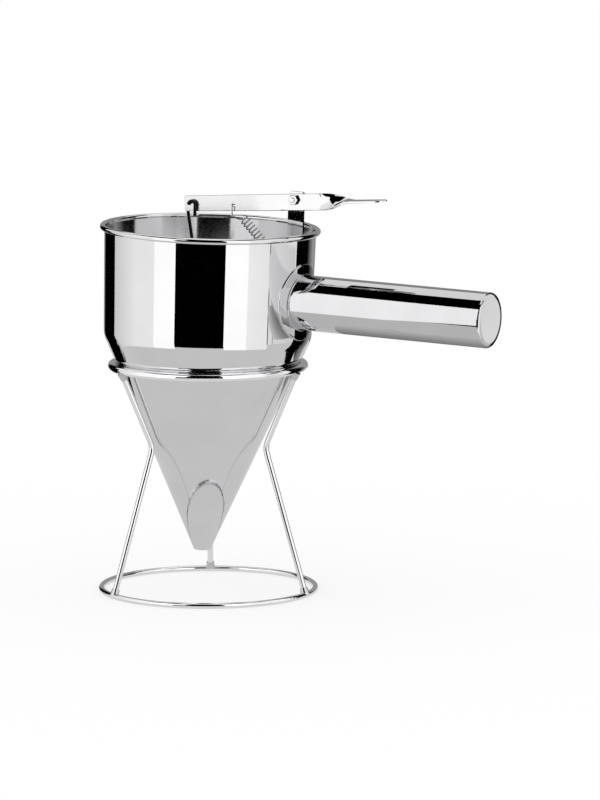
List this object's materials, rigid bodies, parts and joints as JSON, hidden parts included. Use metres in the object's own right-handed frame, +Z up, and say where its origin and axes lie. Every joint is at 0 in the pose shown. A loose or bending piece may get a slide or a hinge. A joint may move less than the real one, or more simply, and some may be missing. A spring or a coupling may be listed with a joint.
{
  "type": "batter dispenser",
  "caption": "Hand-held steel funnel with a side handle and a thumb lever that lifts a sprung stopper out of its nozzle, standing in a wire stand with a ring for the cone.",
  "frame": {"origin": "centre of the stand's base ring, on the table", "axes": "+Z up, +X along the handle seen from above, the lever's nut on the -Y side"},
  "size_m": [0.2544, 0.133, 0.245],
  "materials": {
    "stand_wire": "polished stainless steel wire",
    "weld_bead": "polished stainless weld, slightly uneven",
    "hopper_sheet": "stainless sheet, mirror polished outside and brushed round the inside",
    "handle_steel": "mirror-polished stainless steel",
    "lever_strip": "polished stainless strip",
    "fastener_steel": "bright stainless fastener",
    "plunger_steel": "dark polished steel wire and plug",
    "spring_wire": "bright stainless spring wire"
  },
  "bodies": {
    "stand": {"stand_base_ring": "stand_wire", "stand_top_ring": "stand_wire", "stand_leg_handle_side": "stand_wire", "stand_foot_weld_handle_side": "weld_bead", "stand_ring_weld_handle_side": "weld_bead", "stand_leg_rear": "stand_wire", "stand_foot_weld_rear": "weld_bead", "stand_ring_weld_rear": "weld_bead", "stand_leg_front": "stand_wire", "stand_foot_weld_front": "weld_bead", "stand_ring_weld_front": "weld_bead"},
    "hopper": {"hopper_cup": "hopper_sheet", "hopper_cone": "hopper_sheet", "handle_flange": "handle_steel", "handle_weld": "weld_bead", "handle_tube": "handle_steel", "handle_end_cap": "handle_steel", "lever_bracket": "lever_strip", "bracket_weld_front": "weld_bead", "bracket_weld_back": "weld_bead", "pivot_bolt": "fastener_steel", "pivot_washer": "fastener_steel", "pivot_nut": "fastener_steel", "return_spring": "spring_wire"},
    "lever": {"thumb_lever": "lever_strip"},
    "plunger": {"plunger_rod": "plunger_steel", "plunger_stopper": "plunger_steel"}
  },
  "joints": [
    {"name": "hopper_lift", "type": "slide", "parent": "stand", "child": "hopper", "axis": [0, 0, 1], "range_m": [0, 0.2]},
    {"name": "lever_pivot", "type": "hinge", "parent": "hopper", "child": "lever", "pos_m": [0.06017, 0, 0.24024], "axis": [0, 1, 0], "range_deg": [0, 15], "stiffness_Nm_per_rad": 0.27, "springref_deg": -12.61, "deforming": ["return_spring"]},
    {"name": "plunger_swing", "type": "hinge", "parent": "lever", "child": "plunger", "pos_m": [-0.01063, -0.00295, 0.23478], "axis": [0, 1, 0], "range_deg": [-15, 0]}
  ],
  "couplings": [
    {"joint": "plunger_swing", "follows": "lever_pivot", "ratio": -1}
  ]
}
